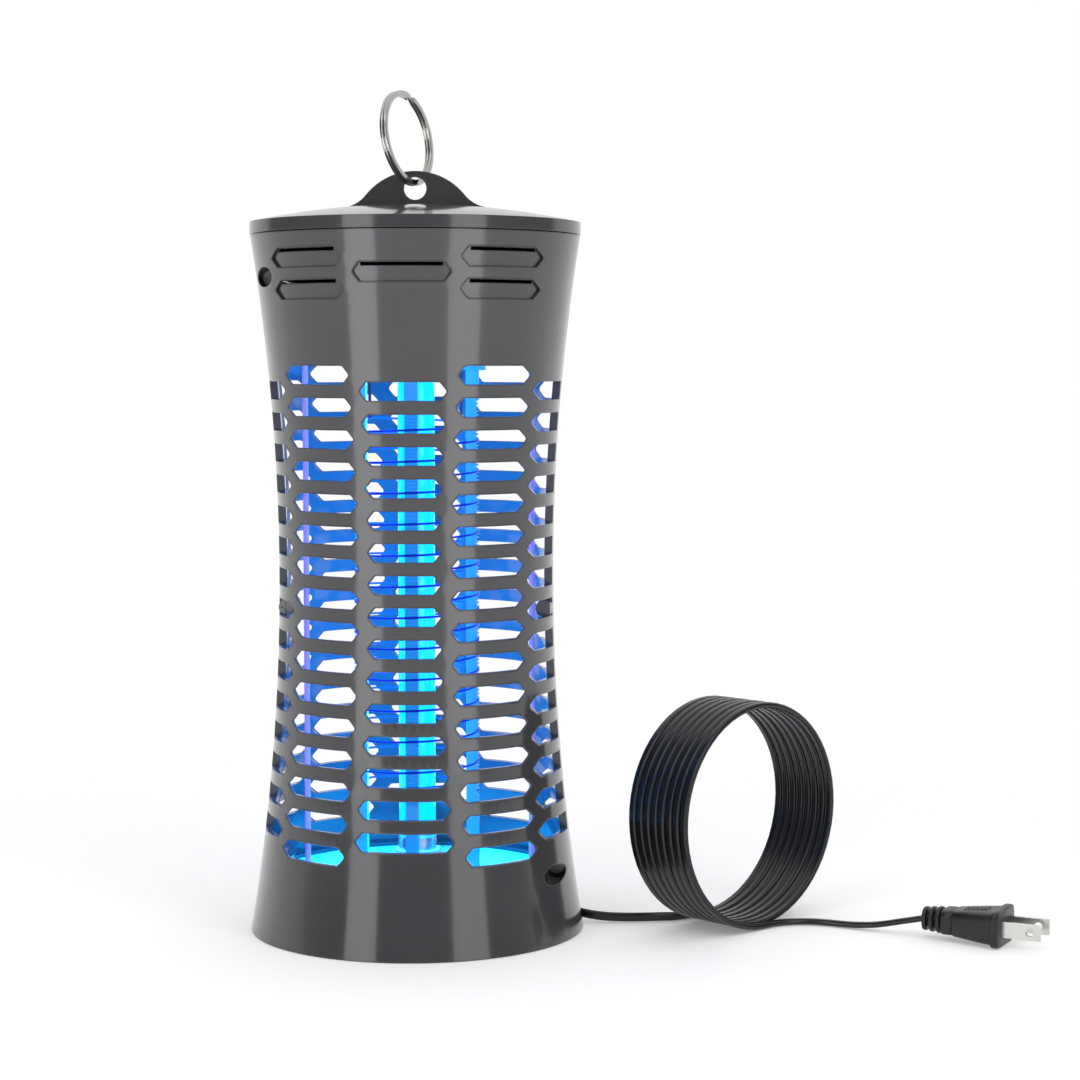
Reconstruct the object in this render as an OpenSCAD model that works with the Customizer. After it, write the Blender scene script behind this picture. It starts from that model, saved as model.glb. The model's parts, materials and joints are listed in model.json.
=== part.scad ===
// Lantern-shaped electric insect zapper: a waisted grille housing of two equal halves,
// a violet lamp inside a wound high-voltage cage, a driver bay under a domed lid with a
// hanging ring, a twist-off dish in the base, and a flat mains lead with its plug.
// Millimetres. Origin: centre of the face it stands on, +Z up, front towards -Y.

/* [Housing] */
// Outer radius at the waist
waist_r = 56.3; // [52:0.1:72]
// Height of the waist above the ground
waist_z = 147.2; // [120:0.1:175]
// Radius of the long arc that the side follows
flare_r = 870; // [700:1:1100]
// Wall thickness of the two housing halves
wall = 2.4; // [2:0.1:3]
// Height of the driver bay above its deck
bay_h = 49.5; // [45:0.5:62]
// Width of the post beside each seam, measured from the seam
seam_post_w = 6; // [5:0.5:8]
// Thickness of the post beside each seam
seam_post_t = 3.2; // [3:0.1:4.5]
// Width of the ledges that hold the lid, deck and floor
ledge_w = 2.4; // [2:0.1:3]

/* [Grille] */
// Height of one slot
slot_h = 7.45; // [5:0.05:9]
// Height from one slot to the next
slot_pitch = 12.6; // [11.5:0.01:15]
// Solid band between the floor and the lowest slot
floor_band = 13.9; // [10:0.1:20]
// Length of each pointed slot end
slot_tip = 3; // [1:0.1:4]
// Half width of the middle slots at the waist
middle_half_w = 14.5; // [10:0.1:16]
// Growth of the middle slots for each millimetre of flare
middle_growth = 0.87; // [0.5:0.01:1]
// Gap from a middle slot's tip to the next column's tip
column_gap = 3.4; // [2:0.1:5]
// Angle of the outer tips of the second column
second_tip_a = 54.4; // [50:0.1:58]
// Angle between the second column's tips and the third column's
third_gap_a = 1; // [0.5:0.1:3]

/* [Vents] */
// Height of one vent pocket
vent_h = 7.8; // [6:0.1:9]
// Half width of a vent pocket as an angle
vent_half_a = 17.5; // [12:0.5:19]
// Depth of a vent pocket
vent_depth = 1.1; // [0.8:0.1:1.4]
// Height of the slit along the top of a vent pocket
vent_slit_h = 1.3; // [1:0.1:2]

/* [Lid and ring] */
// Height of the lid's rim band
rim_h = 5; // [4:0.1:8]
// Height of the dome above the rim band
dome_h = 7.3; // [5:0.1:12]
// Thickness of the hanging tab
tab_t = 3; // [2:0.1:4]
// Height of the tab above the dome
tab_h = 13.8; // [13:0.1:22]
// Radius of the tab's round head
tab_r = 26; // [22:0.5:30]
// Diameter of the tab's hole
hole_d = 9.2; // [8.4:0.1:12]
// Distance from the tab's top edge to the hole's centre
hole_drop = 7.1; // [6.6:0.1:8]
// Outer diameter of the split ring
ring_d = 39; // [32:0.5:48]
// Radial thickness of the split ring's wire
ring_wire_t = 2.4; // [1.8:0.1:2.8]
// Width of the split ring's two turns side by side
ring_wire_w = 3; // [2:0.1:3.4]
// Lean of the ring at rest, towards -X
ring_lean = 9.4; // [0:0.1:20]
// Turn of the ring's plane away from the YZ plane
ring_yaw = 23.8; // [20:0.1:40]

/* [Lamp and cage] */
// Length of the lamp between its base faces
lamp_l = 212; // [180:0.1:256]
// Diameter of the lamp's glass
lamp_d = 15.2; // [13:0.1:18]
// Radius over the teeth of the cage
cage_r = 25.7; // [24:0.1:30]
// Width and depth of a comb post
post_w = 5.2; // [4.5:0.1:6.5]
// Height from one tooth to the next
tooth_pitch = 1.575; // [1.5:0.005:2]
// Diameter of the grid wire
wire_d = 0.9; // [0.6:0.05:1.1]

/* [Base] */
// Height of the floor's underside above the ground
floor_z = 19.3; // [17:0.1:24]
// Thickness of the floor and the deck
plate_t = 2.4; // [2:0.1:3.2]
// Outer radius of the dish
dish_r = 41.3; // [34:0.1:42.5]
// Wall thickness of the dish and its collar
dish_wall = 1.8; // [1.5:0.1:2.4]

/* [Fasteners] */
// Shank diameter of the housing screws
screw_d = 2.9; // [2.5:0.1:3.5]
// Head diameter of the housing screws
screw_head_d = 6.2; // [5.4:0.1:6.8]
// Diameter of the sunk holes for the screws
sink_d = 8; // [7.2:0.1:8.4]

/* [Mains lead] */
// Width of the flat lead
cord_w = 3.8; // [3.4:0.1:4.6]
// Thickness of the flat lead
cord_t = 2.4; // [2:0.1:2.8]
// Outer radius of the coil
coil_r = 47; // [40:0.5:52]
// Number of turns in the coil
coil_turns = 8; // [4:1:9]
// Distance from one turn of the coil to the next
coil_pitch = 4.1; // [3.8:0.05:4.6]
// Width of the plug's flange
plug_w = 23.6; // [21:0.1:26]
// Thickness of the plug's flange
plug_t = 15; // [13:0.1:17]

/* [Hidden] */

$fn = 96;
arc_fn = 900;
eps = 0.02;
far = 400;

// Running clearance between pieces that move on each other, and fit between fixed pieces
run = 0.3;
fit = 0.2;

// Heights that stack up from the ground
floor_top = floor_z + plate_t;
holder_base = 6.5;
lamp_z = floor_top + holder_base;
lamp_top = lamp_z + lamp_l;
deck_z = lamp_top - 7.6;
deck_top = deck_z + plate_t;
shell_h = deck_top + bay_h;
rim_z = shell_h + 0.4;
dome_z = rim_z + rim_h;

function side_r(z) = waist_r + flare_r - sqrt(flare_r * flare_r - pow(z - waist_z, 2));

// Vents: the heights of their middles below the top, and the angle of the outer pairs
vent_drop = 16.3;
vent_pair_drop = [10.3, 22.7];
vent_pair_a = 38;
vent_slit_gap = 0.3;
vent_slit_end = 0.5;

// Rows of slots: as many as fit between the floor band and the deck
row_z = floor_top + floor_band + slot_h / 2;
row_count = floor((deck_z - 0.5 - row_z - slot_h / 2) / slot_pitch) + 1;

function middle_x(z) = middle_half_w + middle_growth * (side_r(z) - waist_r);
function second_in_x(z) = middle_x(z) + column_gap;
function second_out_x(z) = side_r(z) * sin(second_tip_a);
function third_in_x(z) = side_r(z) * sin(second_tip_a + third_gap_a);

// Screws: a sunk pair near the top and the base, and one in the grille
boss_d = 10;
boss_in = 6.6;
top_screw_z = shell_h - 17.3;
low_screw_z = floor_top + 5.4;
mid_screw_z = 133.2;
mid_boss_d = 7;
mid_in = 3.4;
screw_seat = 8;
screw_head_t = 2.2;
screw_reach = 9;
screw_hole_gap = 0.4;
thread_gap = 0.1;
recess_l = 4;
recess_w = 1;
recess_deep = 1;

// The side slots reach just into the seam posts
side_slot_y = 0.2 - seam_post_w;

// Groups of ledges in the housing
ledge_t = 1.8;
flange_t = 2;
deck_flange_z = deck_z + ledge_t + fit;
lid_flange_z = shell_h - 5.3;
lid_flange_t = 1.6;
lid_ledge_t = 1.6;
// The seam posts stop below the lid's ledges
post_top_gap = 8;

// Cage
post_in_r = cage_r - post_w;
head_t = 2.5;
head_grow = 2.7;
head_w = 8;
winding_z0 = floor_top + 32.5;
winding_gap = 13.2;
tooth_depth = 1.4;
wire_pitch = 4 * tooth_pitch;
tooth_count = 2 * floor((deck_z - winding_gap - winding_z0) / (2 * tooth_pitch));
wire_turns = floor((tooth_count - 2) / 4);
wire_r = cage_r - 0.3;

// Lamp
cap_d = lamp_d + 0.6;
cap_h = 12;
pin_d = 2.4;
pin_l = 7;
pin_gap = 4.75;
holder_d = cap_d + 2.8;
stem_hole_d = holder_d - 4;
lower_stem_r = (stem_hole_d - fit) / 2;
stem_l = 5.4;
cup_h = 4;
upper_cup_h = 12;
upper_flange_w = 3;
upper_flange_l = 5;
pin_cover = 2;
pin_fit = 0.1;

// Driver bay
board_l = 72;
board_w = 48;
board_t = 1.6;
board_z = lamp_top + pin_l + 4.2;
board_top = board_z + board_t;
board_hole_x = board_l / 2 - 5;
board_hole_y = board_w / 2 - 5;
pillar_d = 6;
board_screw_d = 2.5;
board_screw_reach = 6;
board_head_d = 5;
board_head_t = 1.8;
bay_wall = 2;

// Leads inside the housing, with the point where each one passes the floor
lead_d = 2.4;
lead_x = 47;
lead_y = 10;
lead_r = norm([lead_x, lead_y]);
lead_hole_d = lead_d + 0.6;

// Dish and its bayonet collar
collar_in = dish_r + 2.2;
collar_out = collar_in + dish_wall;
dish_floor_z = 6;
dish_top = floor_z - 3.4;
lug_out = dish_r + 1.7;
lug_in = dish_r + 0.4;
lug_t = 1.8;
lug_z = 9.8;
lug_span = 20;
grip_w = 6;
grip_l = 64;
grip_z = 1;
collar_z = 3;
lug_at = [0, 120, 240];
// Drop openings in the front half of the floor
drop_at = [200, 295];
drop_span = 45;
drop_in = 29;
drop_rim = 6;

// Mains lead: where the strain relief ends, and the two stretches that aren't coiled
relief_end = [50, 25.5, 6];
relief_a = -47;
relief_l = 22;
relief_d = 7.6;
relief_tip_d = 5.2;
relief_lip = 0.6;
relief_lip_l = 2;
neck_d = 6.2;
neck_l = 4;
bracket_w = 11;
bracket_drop = 4.5;
coil_at = [131.1, 8.3];
coil_a = -45;
cord_route = [[50, 25.5, 6], [54.4, 21.2, 5.6], [58.8, 16.9, 5], [63.1, 12.9, 4.2],
  [67.8, 9.8, 3.4], [73.2, 8.2, 2.7], [79.2, 7.7, 2.2], [86, 7.8, 2], [93, 8.2, 2],
  [100, 9.2, 2], [106.8, 11.4, 2], [113.4, 15, 2], [119.5, 19.9, 2]];
tail_route = [[142.7, -3.3, 1.3], [148.6, 2, 1.3], [155.9, 5, 1.3], [163.9, 5.5, 1.3],
  [171.5, 3.3, 1.3], [180.6, -0.9, 1.5], [189.6, -5.1, 2.6], [198.7, -9.3, 4.9],
  [207.7, -13.5, 7.3]];
// Gate for the lead in the foot, with the lead's heading there
gate_at = [66.3, 10.7];
gate_a = -34;
gate_h = 7.2;
gate_w = 5.6;

// Plug: it lies on its flange, with its blades pointing along plug_a
plug_at = [207.7, -13.5];
plug_a = -25;
plug_rib_l = 9.2;
plug_collar_l = 4.9;
plug_body_l = 17.3;
plug_flange_l = 3.3;
plug_stem = [6.2, 7.4];
plug_rib_d = 9.6;
plug_rib_grow = 0.6;
plug_rib_t = 1.7;
plug_rib_step = 3;
plug_collar = [10.4, 13.6];
plug_neck = [10.8, 14];
plug_shoulder = [1.6, 2];
blade_l = 16;
blade_w = 6.35;
blade_t = 1.5;
blade_gap = 12.7;
blade_hole_d = 3.2;
blade_hole_in = 4.4;

// ---- shapes that several pieces share

// The flat band between two offsets inward from the side, from height z0 to z1
module side_band(from, to, z0, z1) {
  intersection() {
    translate([0, z0])
      square([far, z1 - z0]);
    difference() {
      translate([waist_r + flare_r, waist_z])
        circle(r = flare_r + to, $fn = arc_fn);
      translate([waist_r + flare_r, waist_z])
        circle(r = flare_r + from, $fn = arc_fn);
    }
  }
}

// A ring that follows the side
module side_ring(from, to, z0, z1) {
  rotate_extrude()
    side_band(from, to, z0, z1);
}

// Everything inside the housing's outer surface
module envelope() {
  rotate_extrude()
    difference() {
      square([2 * waist_r, shell_h]);
      translate([waist_r + flare_r, waist_z])
        circle(r = flare_r, $fn = arc_fn);
    }
}

// A slot with pointed ends, cut straight back from the front
module slot(x0, x1, z, high, back) {
  translate([0, back, z])
    rotate([90, 0, 0])
      linear_extrude(far)
        polygon([[x0, 0], [x0 + slot_tip, high / 2], [x1 - slot_tip, high / 2], [x1, 0],
          [x1 - slot_tip, -high / 2], [x0 + slot_tip, -high / 2]]);
}

module both_sides() {
  children();
  mirror([1, 0, 0])
    children();
}

module tube(outer, inner, high) {
  difference() {
    cylinder(d = outer, h = high);
    translate([0, 0, -1])
      cylinder(d = inner, h = high + 2);
  }
}

// A round wire through a list of points
module wire_path(points, d) {
  for (i = [0:len(points) - 2])
    wire_piece(points[i], points[i + 1], d);
  for (i = [1:len(points) - 2])
    translate(points[i])
      sphere(d = 1.04 * d, $fn = 24);
}

module wire_piece(a, b, d) {
  run_v = b - a;
  long = norm(run_v);
  translate(a)
    rotate([0, acos(run_v[2] / long), atan2(run_v[1], run_v[0])])
      cylinder(d = d, h = long, $fn = 24);
}

// ---- housing halves

module grille_slots() {
  for (i = [0:row_count - 1]) {
    z = row_z + i * slot_pitch;
    both_sides()
      slot(second_in_x(z), second_out_x(z), z, slot_h, -eps);
  }
  for (i = [0:row_count - 2]) {
    z = row_z + (i + 0.5) * slot_pitch;
    slot(-middle_x(z), middle_x(z), z, slot_h, -eps);
    both_sides()
      slot(third_in_x(z), far / 2, z, slot_h, side_slot_y);
  }
}

module vent_outline(a, half_a, z, high, back) {
  r = side_r(z);
  slot(r * sin(a - half_a), r * sin(a + half_a), z, high, back);
}

module vent(a, z) {
  intersection() {
    vent_outline(a, vent_half_a, z, vent_h, -eps);
    side_ring(-2, vent_depth, z - vent_h, z + vent_h);
  }
  r = side_r(z);
  x0 = r * sin(a - vent_half_a) + slot_tip + vent_slit_end;
  x1 = r * sin(a + vent_half_a) - slot_tip - vent_slit_end;
  translate([x0, -far, z + vent_h / 2 - vent_slit_h - vent_slit_gap])
    cube([x1 - x0, far - eps, vent_slit_h]);
}

module vents() {
  vent(0, shell_h - vent_drop);
  both_sides()
    for (drop = vent_pair_drop)
      vent(vent_pair_a, shell_h - drop);
}

// A sunk boss along Y at the given side: the screw's half or the threaded half
module corner_boss(side, z) {
  translate([side * (side_r(z) - boss_in), 0, z])
    rotate([90, 0, 0])
      cylinder(d = boss_d, h = waist_r);
}

module screw_hole(side, z, inset, seat) {
  translate([side * (side_r(z) - inset), 1, z])
    rotate([90, 0, 0])
      cylinder(d = screw_d + screw_hole_gap, h = seat + 2);
}

module sink_hole(side, z) {
  translate([side * (side_r(z) - boss_in), -screw_seat, z])
    rotate([90, 0, 0])
      cylinder(d = sink_d, h = far);
}

// Room for the head of the screw in the grille
module mid_sink(side) {
  translate([side * (side_r(mid_screw_z) - mid_in), -seam_post_w, mid_screw_z])
    rotate([90, 0, 0])
      cylinder(d = screw_head_d + 0.6, h = screw_head_t + 1);
}

module thread_hole(side, z, inset) {
  translate([side * (side_r(z) - inset), 1, z])
    rotate([90, 0, 0])
      cylinder(d = screw_d + thread_gap, h = screw_reach + 1.5);
}

module mid_boss(side, long) {
  translate([side * (side_r(mid_screw_z) - mid_in), 0, mid_screw_z])
    rotate([90, 0, 0])
      cylinder(d = mid_boss_d, h = long);
}

// The wall's profile with the ledges that hold the floor, the deck and the lid
module wall_profile() {
  inner = wall + ledge_w;
  side_band(0, wall, 0, shell_h);
  side_band(wall - eps, inner, floor_z - ledge_t - fit, floor_z - fit);
  side_band(wall - eps, inner, floor_z + flange_t + fit, floor_z + flange_t + fit + ledge_t);
  side_band(wall - eps, inner, deck_z, deck_z + ledge_t);
  side_band(wall - eps, inner, deck_flange_z + flange_t + fit,
    deck_flange_z + flange_t + fit + ledge_t);
  side_band(wall - eps, inner, lid_flange_z - fit - ledge_t, lid_flange_z - fit);
  side_band(wall - eps, inner, lid_flange_z + lid_flange_t + fit,
    lid_flange_z + lid_flange_t + fit + lid_ledge_t);
}

module walls() {
  rotate_extrude()
    wall_profile();
  intersection() {
    side_ring(wall - eps, seam_post_t, 0, shell_h - post_top_gap);
    translate([-far / 2, -seam_post_w, 0])
      cube([far, seam_post_w, far]);
  }
}

// One half: its screws enter at the top on -X, at the base on +X, and on -X in the grille
module half_shell(gate = false) {
  difference() {
    union() {
      difference() {
        intersection() {
          walls();
          translate([-far / 2, -far / 2, 0])
            cube([far, far / 2, far]);
        }
        grille_slots();
      }
      intersection() {
        envelope();
        union() {
          corner_boss(-1, top_screw_z);
          corner_boss(1, top_screw_z);
          corner_boss(-1, low_screw_z);
          corner_boss(1, low_screw_z);
          mid_boss(-1, seam_post_w);
          mid_boss(1, screw_reach + 2);
        }
      }
    }
    vents();
    sink_hole(-1, top_screw_z);
    sink_hole(1, low_screw_z);
    screw_hole(-1, top_screw_z, boss_in, screw_seat);
    screw_hole(1, low_screw_z, boss_in, screw_seat);
    screw_hole(-1, mid_screw_z, mid_in, seam_post_w);
    mid_sink(-1);
    thread_hole(1, top_screw_z, boss_in);
    thread_hole(-1, low_screw_z, boss_in);
    thread_hole(1, mid_screw_z, mid_in);
    if (gate)
      lead_gate();
  }
}

// Gate for the lead in the foot of the rear half
module lead_gate() {
  translate([-gate_at[0], -gate_at[1], -1])
    rotate([0, 0, gate_a])
      translate([-8, -gate_w / 2, 0])
        cube([16, gate_w, gate_h + 1]);
}

module front_shell() {
  color("dimgray")
    half_shell();
}

module rear_shell() {
  color("dimgray")
    rotate([0, 0, 180])
      half_shell(gate = true);
}

// A pan-head screw whose head seats at y = -seat and whose shank points along +Y
module pan_screw(seat, reach) {
  rotate([90, 0, 0]) {
    difference() {
      translate([0, 0, seat])
        cylinder(d = screw_head_d, h = screw_head_t);
      for (a = [0, 90])
        rotate([0, 0, a])
          translate([-recess_l / 2, -recess_w / 2, seat + screw_head_t - recess_deep])
            cube([recess_l, recess_w, 2 * recess_deep]);
    }
    translate([0, 0, -reach])
      cylinder(d = screw_d, h = seat + reach + eps);
  }
}

module half_screws() {
  translate([-side_r(top_screw_z) + boss_in, 0, top_screw_z])
    pan_screw(screw_seat, screw_reach);
  translate([side_r(low_screw_z) - boss_in, 0, low_screw_z])
    pan_screw(screw_seat, screw_reach);
  translate([-side_r(mid_screw_z) + mid_in, 0, mid_screw_z])
    pan_screw(seam_post_w, screw_reach);
}

module shell_screws() {
  color("silver") {
    half_screws();
    rotate([0, 0, 180])
      half_screws();
  }
}

// ---- lid, tab and ring

lid_r = side_r(shell_h) + 0.25;
dome_r = (lid_r * lid_r + dome_h * dome_h) / (2 * dome_h);
dome_c = dome_z + dome_h - dome_r;
rim_round = 1.4;
spigot_r = side_r(lid_flange_z) - wall - ledge_w - fit;
spigot_t = 2;
hole_z = dome_z + dome_h + tab_h - hole_drop;
tab_c = dome_z + dome_h + tab_h - tab_r;
tab_fillet = 14;
tab_foot = dome_z + dome_h - 1.1;
tab_x = sqrt(pow(tab_r + tab_fillet, 2) - pow(tab_foot + tab_fillet - tab_c, 2));
// Height where the fillets meet the round head
tab_meet = tab_c + tab_r * (tab_foot + tab_fillet - tab_c) / (tab_r + tab_fillet);

module lid_profile() {
  intersection() {
    translate([0, dome_c])
      circle(r = dome_r, $fn = arc_fn);
    union() {
      translate([0, rim_z])
        square([lid_r - rim_round, far]);
      translate([0, rim_z])
        square([lid_r, rim_h - 0.4]);
      translate([lid_r - rim_round, rim_z + rim_h - 0.4])
        circle(r = rim_round);
    }
  }
  translate([spigot_r - spigot_t, lid_flange_z])
    square([spigot_t, rim_z - lid_flange_z + 2]);
  translate([spigot_r - eps, lid_flange_z])
    square([ledge_w - fit, lid_flange_t]);
}

module tab_outline() {
  difference() {
    union() {
      translate([0, tab_c])
        circle(r = tab_r);
      translate([-tab_x, tab_foot - 3])
        square([2 * tab_x, tab_meet - tab_foot + 3]);
    }
    for (s = [-1, 1])
      translate([s * tab_x, tab_foot + tab_fillet])
        circle(r = tab_fillet);
    translate([-tab_x, tab_c - far])
      square([2 * tab_x, far + tab_foot - 3 - tab_c]);
  }
}

module lid() {
  color("dimgray")
    difference() {
      union() {
        rotate_extrude()
          difference() {
            lid_profile();
            // Hollow under the dome
            intersection() {
              translate([0, dome_c])
                circle(r = dome_r - wall, $fn = arc_fn);
              translate([0, lid_flange_z - 1])
                square([spigot_r - spigot_t, far]);
            }
          }
        translate([0, tab_t / 2, 0])
          rotate([90, 0, 0])
            linear_extrude(tab_t)
              tab_outline();
      }
      translate([0, tab_t, hole_z])
        rotate([90, 0, 0])
          cylinder(d = hole_d, h = 2 * tab_t);
    }
}

// The ring hangs with its wire just under the top of the hole
ring_in_r = ring_d / 2 - ring_wire_t;
span_b = (tab_t / 2 + sin(ring_yaw) * ring_wire_w / 2) / cos(ring_yaw);
span_x = cos(ring_yaw) * ring_wire_w / 2 + sin(ring_yaw) * span_b;
ring_reach = ring_in_r + sqrt(pow(hole_d / 2, 2) - span_x * span_x) - run
  - span_b * span_b / (2 * ring_in_r);

// Two flat turns of wire side by side, with a fine groove between them
module ring_section() {
  turn_w = ring_wire_w / 2 - 0.05;
  soft = 0.35;
  for (s = [-1, 1])
    translate([ring_in_r, s * ring_wire_w / 4]) {
      translate([soft, -turn_w / 2])
        square([ring_wire_t - 2 * soft, turn_w]);
      translate([0, -turn_w / 2 + soft])
        square([ring_wire_t, turn_w - 2 * soft]);
      for (x = [soft, ring_wire_t - soft])
        for (y = [-1, 1])
          translate([x, y * (turn_w / 2 - soft)])
            circle(r = soft, $fn = 24);
    }
  translate([ring_in_r + 0.6, -0.2])
    square([ring_wire_t - 1.2, 0.4]);
}

module hang_ring() {
  color("lightgray")
    translate([0, 0, hole_z])
      rotate([0, -ring_lean, 0])
        translate([0, 0, ring_reach])
          rotate([0, 0, -ring_yaw])
            rotate([0, 90, 0])
              rotate_extrude()
                ring_section();
}

// ---- deck and floor

module lead_holes() {
  for (s = [-1, 1])
    translate([s * lead_x, lead_y, 0])
      cylinder(d = lead_hole_d, h = far, $fn = 24);
}

hv_a = 45;
hv_d = 1.2;
hv_hole_d = 2.2;
hv_r = wire_r - wire_d / 2 - hv_d / 2 + 0.05;

module deck() {
  deck_r = side_r(deck_z) - wall - ledge_w - fit;
  color("slategray")
    difference() {
      union() {
        translate([0, 0, deck_z])
          cylinder(r = deck_r, h = plate_t);
        translate([0, 0, deck_flange_z])
          cylinder(r = side_r(deck_flange_z) - seam_post_t - fit, h = flange_t);
        for (x = [-1, 1])
          for (y = [-1, 1])
            translate([x * board_hole_x, y * board_hole_y, deck_z])
              cylinder(d = pillar_d, h = board_z - deck_z);
      }
      // The bay's own floor is lower than the flange
      difference() {
        translate([0, 0, deck_top])
          cylinder(r = deck_r - bay_wall, h = 2 * flange_t);
        for (x = [-1, 1])
          for (y = [-1, 1])
            translate([x * board_hole_x, y * board_hole_y, deck_z])
              cylinder(d = pillar_d, h = board_z - deck_z);
      }
      translate([0, 0, deck_z - 1])
        cylinder(d = holder_d + fit, h = plate_t + 2);
      lead_holes();
      for (a = [hv_a, hv_a + 180])
        rotate([0, 0, a])
          translate([hv_r, 0, deck_z - 1])
            cylinder(d = hv_hole_d, h = 8, $fn = 24);
      for (x = [-1, 1])
        for (y = [-1, 1])
          translate([x * board_hole_x, y * board_hole_y, board_z - 8])
            cylinder(d = board_screw_d + thread_gap, h = 10);
    }
}

// A ring sector, open at both ends, for lugs and drop openings
module sector(r0, r1, a0, a1, z0, z1) {
  intersection() {
    translate([0, 0, z0])
      difference() {
        cylinder(r = r1, h = z1 - z0);
        translate([0, 0, -1])
          cylinder(r = r0, h = z1 - z0 + 2);
      }
    translate([0, 0, z0])
      linear_extrude(z1 - z0)
        polygon([[0, 0], far * [cos(a0), sin(a0)], far * [cos((a0 + a1) / 2), sin((a0 + a1) / 2)],
          far * [cos(a1), sin(a1)]]);
  }
}

module relief_place() {
  translate(relief_end)
    rotate([0, 0, relief_a])
      rotate([0, -90, 0])
        children();
}

module floor_plate() {
  rim_r = side_r(floor_z + flange_t + fit + ledge_t) - wall - ledge_w - fit;
  color("slategray")
    difference() {
      union() {
        translate([0, 0, floor_z])
          cylinder(r = rim_r, h = plate_t);
        translate([0, 0, floor_z])
          cylinder(r = side_r(floor_z + flange_t) - seam_post_t - fit, h = flange_t);
        // Collar for the dish, with its three lugs
        translate([0, 0, collar_z])
          tube(2 * collar_out, 2 * collar_in, floor_z - collar_z + eps);
        for (a = lug_at)
          sector(lug_in, collar_in + 0.5, a, a + lug_span, lug_z - run - lug_t, lug_z - run);
        // Bracket that grips the strain relief
        relief_place()
          translate([-bracket_drop, -bracket_w / 2, relief_l + relief_lip_l + fit / 2])
            cube([floor_z - relief_end[2] + bracket_drop + eps, bracket_w, neck_l - fit]);
      }
      // Two drop openings in the front half
      for (a = drop_at)
        sector(drop_in, collar_in - drop_rim, a, a + drop_span, floor_z - 1, floor_top + 1);
      translate([0, 0, floor_z - 1])
        cylinder(d = stem_hole_d, h = plate_t + 2);
      lead_holes();
      relief_place()
        cylinder(d = neck_d + fit, h = relief_l + 10);
      // Gap in the collar's top for the lamp lead
      translate([-collar_out - 2, 0, floor_z - lead_d - 1])
        cube([12, lead_y + 2, lead_d + 1]);
    }
}

// ---- cage

function tooth_points() = [for (i = [0:tooth_count - 1])
  each [[cage_r, winding_z0 + i * tooth_pitch],
    [cage_r - tooth_depth, winding_z0 + (i + 0.5) * tooth_pitch]]];

module comb_post() {
  rotate([90, 0, 0])
    translate([0, 0, -post_w / 2])
      linear_extrude(post_w)
        polygon(concat([[post_in_r, floor_top], [cage_r, floor_top]], tooth_points(),
          [[cage_r, winding_z0 + tooth_count * tooth_pitch], [cage_r, deck_z],
            [post_in_r, deck_z]]));
  for (z = [floor_top, deck_z - head_t])
    translate([post_in_r - head_grow, -head_w / 2, z])
      cube([post_w + 2 * head_grow, head_w, head_t]);
}

module comb_post_front() {
  color("powderblue")
    rotate([0, 0, -90])
      comb_post();
}

module comb_post_right() {
  color("powderblue")
    comb_post();
}

module comb_post_rear() {
  color("powderblue")
    rotate([0, 0, 90])
      comb_post();
}

module comb_post_left() {
  color("powderblue")
    rotate([0, 0, 180])
      comb_post();
}

module grid_rings(first) {
  for (i = [0:wire_turns - 1])
    translate([0, 0, winding_z0 + (first + 0.5) * tooth_pitch + i * wire_pitch])
      rotate_extrude()
        translate([wire_r, 0])
          circle(d = wire_d, $fn = 16);
}

module grid_wire_a() {
  color("gray")
    grid_rings(1);
}

module grid_wire_b() {
  color("gray")
    grid_rings(3);
}

module hv_leads() {
  last_z = winding_z0 + 1.5 * tooth_pitch + (wire_turns - 1) * wire_pitch;
  color("firebrick")
    for (i = [0, 1])
      rotate([0, 0, hv_a + 180 * i])
        translate([hv_r, 0, last_z + 2 * i * tooth_pitch])
          cylinder(d = hv_d, h = board_z - last_z - 2 * i * tooth_pitch, $fn = 24);
}

// ---- lamp

module uv_tube() {
  color("deepskyblue")
    translate([0, 0, lamp_z + cap_h])
      cylinder(d = lamp_d, h = lamp_l - 2 * cap_h);
}

module lamp_caps() {
  color("gainsboro")
    for (z = [lamp_z, lamp_top - cap_h])
      translate([0, 0, z])
        cylinder(d = cap_d, h = cap_h);
}

module lamp_pins() {
  color("goldenrod")
    for (z = [lamp_z - pin_l, lamp_top])
      for (s = [-1, 1])
        translate([s * pin_gap / 2, 0, z])
          cylinder(d = pin_d, h = pin_l, $fn = 24);
}

// A round cup for one end of the lamp, with its mouth upwards
module lamp_holder() {
  difference() {
    union() {
      cylinder(d = holder_d, h = holder_base + cup_h);
      translate([0, 0, -stem_l])
        cylinder(r = lower_stem_r, h = stem_l + eps);
    }
    translate([0, 0, holder_base])
      cylinder(d = cap_d + fit, h = 10);
    for (s = [-1, 1])
      translate([s * pin_gap / 2, 0, holder_base - pin_l])
        cylinder(d = pin_d + pin_fit, h = pin_l + 1, $fn = 24);
  }
}

module lamp_holder_lower() {
  color("whitesmoke")
    translate([0, 0, floor_top])
      lamp_holder();
}

module lamp_holder_upper() {
  color("whitesmoke")
    translate([0, 0, lamp_top])
      mirror([0, 0, 1])
        difference() {
          union() {
            translate([0, 0, -pin_l - pin_cover])
              cylinder(d = holder_d, h = pin_l + pin_cover + upper_cup_h);
            translate([0, 0, -pin_l - pin_cover])
              cylinder(d = holder_d + 2 * upper_flange_w, h = pin_l + pin_cover + upper_flange_l);
          }
          cylinder(d = cap_d + fit, h = 20);
          for (s = [-1, 1])
            translate([s * pin_gap / 2, 0, -pin_l])
              cylinder(d = pin_d + pin_fit, h = pin_l + 1, $fn = 24);
        }
}

// ---- driver

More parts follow.
